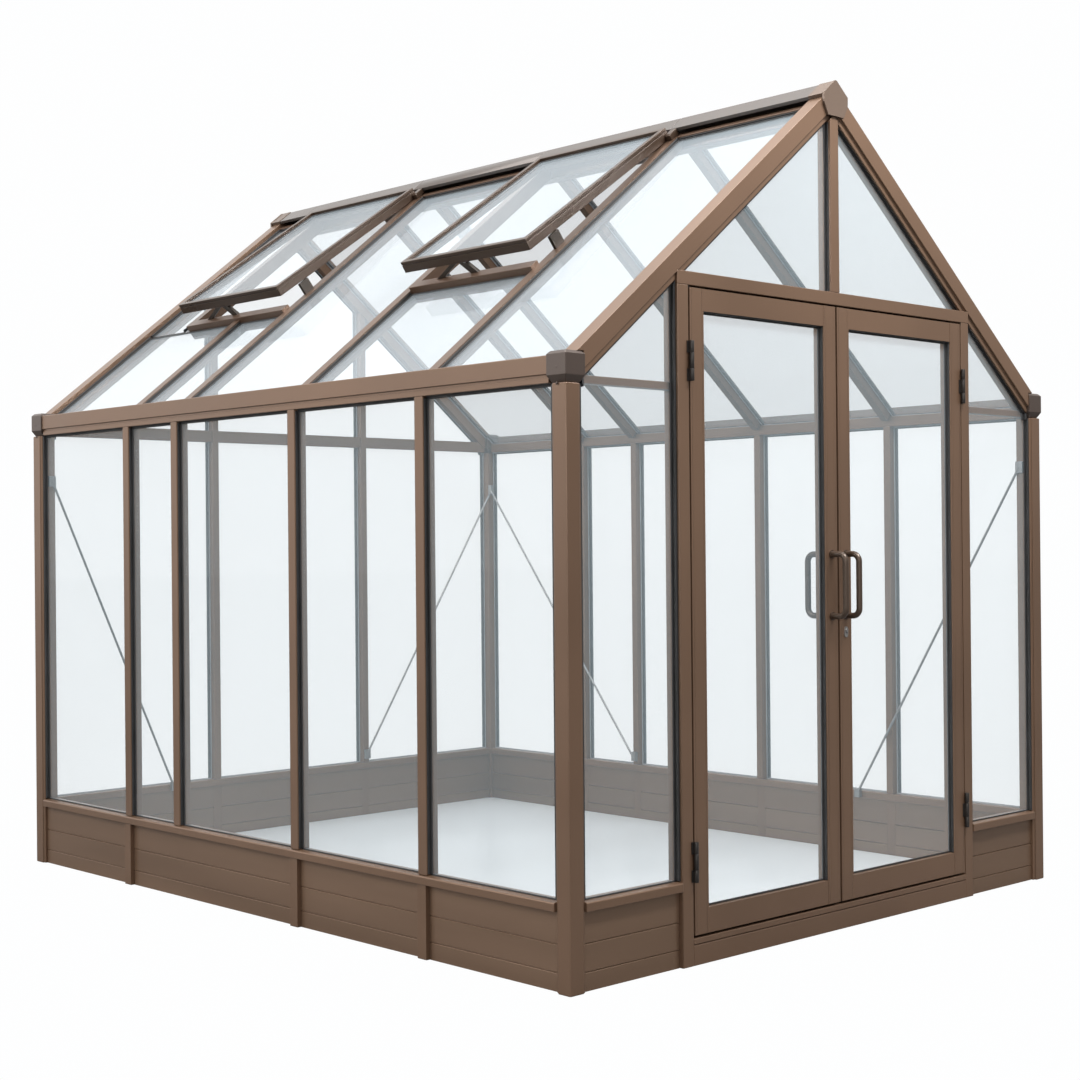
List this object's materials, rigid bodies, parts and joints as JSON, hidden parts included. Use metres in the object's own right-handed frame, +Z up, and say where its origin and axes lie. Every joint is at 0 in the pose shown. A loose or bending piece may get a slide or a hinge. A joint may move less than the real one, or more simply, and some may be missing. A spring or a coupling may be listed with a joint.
{
  "type": "glass greenhouse",
  "caption": "Walk-in glass greenhouse with a gabled glass roof, a boarded base wall, a pair of glazed hinged doors and opened roof vents.",
  "frame": {"origin": "centre of the building's footprint, on the ground", "axes": "+X across the gable to the right as seen facing the doors, +Y along the ridge away from the doors, +Z up"},
  "size_m": [2.39, 3.0515, 2.6689],
  "materials": {
    "bronze_frame": "satin powder coat",
    "dark_casting": "satin powder coat",
    "black_hinge": "satin",
    "clear_glass": "polished",
    "brace_steel": "satin",
    "lock_steel": "satin",
    "pale_floor": "smooth"
  },
  "bodies": {
    "building": {"floor": "pale_floor", "corner_posts": "bronze_frame", "side_wall_bars": "bronze_frame", "back_wall_posts": "bronze_frame", "wall_sills": "bronze_frame", "side_base_panels": "bronze_frame", "gable_base_panels": "bronze_frame", "base_posts": "bronze_frame", "eave_beams": "bronze_frame", "front_rafters": "bronze_frame", "back_rafters": "bronze_frame", "king_mullion": "bronze_frame", "gable_rails": "bronze_frame", "left_roof_bars": "bronze_frame", "right_roof_bars": "bronze_frame", "ridge_beam": "bronze_frame", "ridge_capping": "bronze_frame", "ridge_end_caps": "dark_casting", "eave_corner_caps": "dark_casting", "door_posts": "bronze_frame", "door_header": "bronze_frame", "threshold": "bronze_frame", "left_wall_glass": "clear_glass", "right_wall_glass": "clear_glass", "front_glass": "clear_glass", "back_glass": "clear_glass", "left_roof_glass": "clear_glass", "right_roof_glass": "clear_glass", "roof_vent_frames": "bronze_frame", "roof_vent_glass": "clear_glass", "vent_hinge_rails": "bronze_frame", "vent_sills": "bronze_frame", "vent_stays": "black_hinge", "brace_rods": "brace_steel", "post_hinges": "black_hinge"},
    "left_door": {"left_door_stiles": "bronze_frame", "left_door_rails": "bronze_frame", "left_door_glass": "clear_glass", "left_door_handles": "bronze_frame", "left_door_hinges": "black_hinge"},
    "right_door": {"right_door_stiles": "bronze_frame", "right_door_rails": "bronze_frame", "right_door_glass": "clear_glass", "right_door_handles": "bronze_frame", "right_door_hinges": "black_hinge", "door_lock": "lock_steel"}
  },
  "joints": [
    {"name": "left_door_hinge", "type": "hinge", "parent": "building", "child": "left_door", "pos_m": [-0.691, -1.499, 1], "axis": [0, 0, -1], "range_deg": [0, 110]},
    {"name": "right_door_hinge", "type": "hinge", "parent": "building", "child": "right_door", "pos_m": [0.691, -1.499, 1], "axis": [0, 0, 1], "range_deg": [0, 110]}
  ]
}
